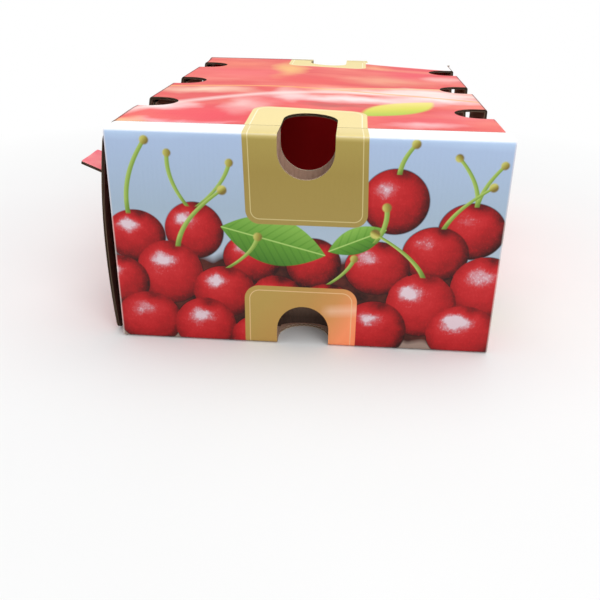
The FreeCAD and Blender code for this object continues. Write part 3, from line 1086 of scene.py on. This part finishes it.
def lid_sheet(finishes):
    """Top panel and closing flap in one sheet."""
    foot = (-FLAP_TOP_FACE - FLAP_FLARE, FLAP_FOOT)
    corners = [(SIDE_FACE, WALL_TOP), (SIDE_FACE, HEIGHT), (-FLAP_TOP_FACE, HEIGHT), foot]
    path = FoldPath(corners, [HINGE_FOLD, MAIN_FOLD])
    panel_start = path.bends[0][1]
    panel_end = path.bends[1][0]
    flap_start = path.bends[1][1]
    end = path.length
    fall = end - flap_start
    ear = flap_start + EAR_DROP
    across_line = panel_start + SIDE_FACE - HINGE_FOLD
    side = [(LID_HALF_LENGTH, 0), (LID_HALF_LENGTH, ear), (FLAP_HALF_LENGTH, ear), (FLAP_HALF_LENGTH, end)]
    half = rounded(side + [(0, end)], [0, 0, FLAP_CORNER, FLAP_CORNER, 0])[:-1]
    outline = half + [(-u, v) for u, v in reversed(half)]
    cuts = lid_cuts(across_line, flap_start, end) + [tab_window(flap_start)]
    v_lines = path.lines() + even_lines(panel_start + 3, panel_end - 3)
    v_lines += even_lines(flap_start + 3, end - 3)
    u_lines = even_lines(-LID_HALF_LENGTH + 2, LID_HALF_LENGTH - 2)
    u_lines += [-FLAP_HALF_LENGTH + 6, FLAP_HALF_LENGTH - 6]

    def place(u, v):
        point, outward = path.at(v)
        x, y, z = point.x, u, point.y
        if panel_start < v < panel_end:
            z += LID_CROWN * hump(x, 0, HALF_WIDTH) * hump(y, 0, HALF_LENGTH)
        if v > flap_start:
            drop = (v - flap_start) / fall
            x += flap_sway(drop) - 0.5 * drop * math.sin((y + FLAP_HALF_LENGTH) * 0.034)
        z += lid_spring(x, y)
        x += lid_pull(x, y)
        return Vector((x, y, z)), Vector((outward.x, 0, outward.y))

    def print_place(u, v, middle):
        return across_line - v, u

    return sheet("lid_panel_and_flap", outline, cuts, u_lines, v_lines, place, print_place, finishes)


def lid_tab(finishes):
    """The small tab pushed out of the closing flap."""
    slope = FLAP_FLARE / (HEIGHT - FLAP_FOOT)
    root_drop = (HEIGHT - TONGUE_HEIGHT) / (HEIGHT - FLAP_FOOT)
    root_x = -FLAP_TOP_FACE - FLAP_FLARE * root_drop + flap_sway(root_drop)
    stub = 0.8
    start = (root_x + stub * slope, TONGUE_HEIGHT + stub)
    bend = (root_x, TONGUE_HEIGHT)
    rise = TONGUE_REACH * math.sin(TONGUE_TILT)
    tip = (root_x - TONGUE_REACH * math.cos(TONGUE_TILT), TONGUE_HEIGHT + rise)
    path = FoldPath([start, bend, tip], [TONGUE_FOLD])
    end = path.length
    root = path.bends[0][0]
    low, high = TONGUE_START, TONGUE_START + TONGUE_LENGTH
    corners = [
        (low, 0), (high, 0), (high, root), (high - TONGUE_TAPER, end),
        (low + TONGUE_TAPER, end), (low, root),
    ]
    outline = rounded(corners, [0, 0, 0, TONGUE_CORNER, TONGUE_CORNER, 0])
    u_lines = even_lines(low, high, TONGUE_GRID)
    v_lines = path.lines() + even_lines(0, end, TONGUE_GRID - 1)

    def place(u, v):
        point, outward = path.at(v)
        sag = TONGUE_SAG * hump(u, (low + high) / 2, TONGUE_LENGTH) * v / end
        return Vector((point.x, u, point.y - sag)), Vector((outward.x, 0, outward.y))

    def print_place(u, v, middle):
        return TAB_PRINT + v, u

    return sheet("lid_push_out_tab", outline, [], u_lines, v_lines, place, print_place, finishes)


def build_box():
    liner = plain_board("plain board inside", "d4b09a", "b58e78", "8a6250", HOLLOW_SHADE)
    flap_liner = plain_board("plain board inside the lid", "b28c74", "93705b", "6f4d3c", FLAP_SHADE)
    under = plain_board("plain board underside", "b39476", "94745a", "6d5240", None)
    cut = cut_board("cut board edge", "bb9f86", "dfc9b4", "8c6c55", "f0e2cc")
    shaded = cut_board("cut board edge in shade", "5c4a3c", "7d6955", "32241a", "6e5c49")
    ends = end_print()
    walls = side_print()
    lid = lid_print()
    for piece in (
        tray_strip([ends, liner, cut, under]),
        long_wall(1, [walls, liner, shaded]),
        long_wall(-1, [walls, liner, shaded]),
    ):
        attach(piece, "tray")
        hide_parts("tray")
    for piece in (lid_sheet([lid, flap_liner, shaded]), lid_tab([lid, flap_liner, shaded])):
        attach(piece, "lid")
        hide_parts("lid")


# Studio

# How far from the box's middle the floor has half faded to white, and over what width,
# in metres
FADE_MIDDLE = 0.33
FADE_WIDTH = 0.34
FLOOR_REACH = 6.0

WORLD_LIGHT = 0.62


def floor_finish():
    """Pale floor that keeps the box's shadow and fades to the white background."""
    finish = Finish("studio floor")
    where = finish.node("ShaderNodeTexCoord").outputs["Object"]
    cloud = finish.noise(where, 3.0, 3.0)
    base = finish.ramp(cloud, [(0.3, "e9e9e8"), (0.7, "eeeeed")])
    finish.surface(base, 0.75 + cloud * 0.1, 0.2)
    lit = finish.out.inputs[0].links[0].from_socket
    white = finish.node("ShaderNodeEmission", None, {"Color": (1.0, 1.0, 1.0, 1.0), "Strength": 1.0})
    away = finish.distance(where, (0.0, 0.0)).above(FADE_MIDDLE, FADE_WIDTH)
    seen = Wire(finish, finish.node("ShaderNodeLightPath").outputs["Is Camera Ray"])
    mixed = finish.node("ShaderNodeMixShader", None, {0: away * seen, 1: lit, 2: white.outputs[0]})
    finish.join(mixed)
    return finish.material


def make_floor():
    mesh = bpy.data.meshes.new("studio_floor")
    corners = [(FLOOR_REACH * x, FLOOR_REACH * y, 0) for x, y in ((-1, -1), (1, -1), (1, 1), (-1, 1))]
    mesh.from_pydata(corners, [], [(0, 1, 2, 3)])
    mesh.materials.append(floor_finish())
    floor = bpy.data.objects.new("studio_floor", mesh)
    floor.location = (0, 0, -0.0002)
    bpy.context.scene.collection.objects.link(floor)


def make_world():
    """Even pale light all round, and pure white where the camera sees it."""
    world = bpy.data.worlds.new("studio")
    world.use_nodes = True
    bpy.context.scene.world = world
    nodes = Nodes(world.node_tree, "ShaderNodeOutputWorld")
    light = nodes.node("ShaderNodeBackground", None, {0: (0.97, 0.98, 1.0, 1.0), 1: WORLD_LIGHT})
    white = nodes.node("ShaderNodeBackground", None, {0: (1.0, 1.0, 1.0, 1.0), 1: 1.0})
    rays = nodes.node("ShaderNodeLightPath").outputs
    seen = nodes.sum("MAXIMUM", rays["Is Camera Ray"], rays["Is Transmission Ray"])
    nodes.join(nodes.node("ShaderNodeMixShader", None, {0: seen, 1: light.outputs[0], 2: white.outputs[0]}))


def soft_lamp(name, place, aim, size, power):
    lamp = bpy.data.lights.new(name, "AREA")
    lamp.size = size
    lamp.energy = power
    piece = bpy.data.objects.new(name, lamp)
    piece.location = place
    piece.rotation_mode = "QUATERNION"
    piece.rotation_quaternion = (Vector(aim) - Vector(place)).to_track_quat("-Z", "Y")
    bpy.context.scene.collection.objects.link(piece)


def make_camera():
    """Stands where the photograph was taken from, tilted a little to the left."""
    place = Vector((0.0222, -0.4908, 0.1887))
    aim = Vector((0.0150, -0.3882, 0.1400))
    roll = 0.0163
    ahead = (aim - place).normalized()
    right = ahead.cross(Vector((0, 0, 1))).normalized()
    up = right.cross(ahead)
    right, up = right * math.cos(roll) + up * math.sin(roll), up * math.cos(roll) - right * math.sin(roll)
    lens = bpy.data.cameras.new("camera")
    lens.lens = 42.47
    lens.sensor_width = 36.0
    lens.clip_start = 0.01
    piece = bpy.data.objects.new("camera", lens)
    piece.matrix_world = Matrix((
        (right.x, up.x, -ahead.x, place.x),
        (right.y, up.y, -ahead.y, place.y),
        (right.z, up.z, -ahead.z, place.z),
        (0, 0, 0, 1),
    ))
    bpy.context.scene.collection.objects.link(piece)
    bpy.context.scene.camera = piece


build_box()
make_floor()
make_world()
soft_lamp("overhead lamp", (0.1, 0.1, 1.5), (0, 0, 0.1), 1.4, 11.5)
soft_lamp("front lamp", (0.7, -1.3, 1.0), (0, 0, 0.06), 1.0, 9)
make_camera()
bpy.context.scene.view_settings.view_transform = "Standard"
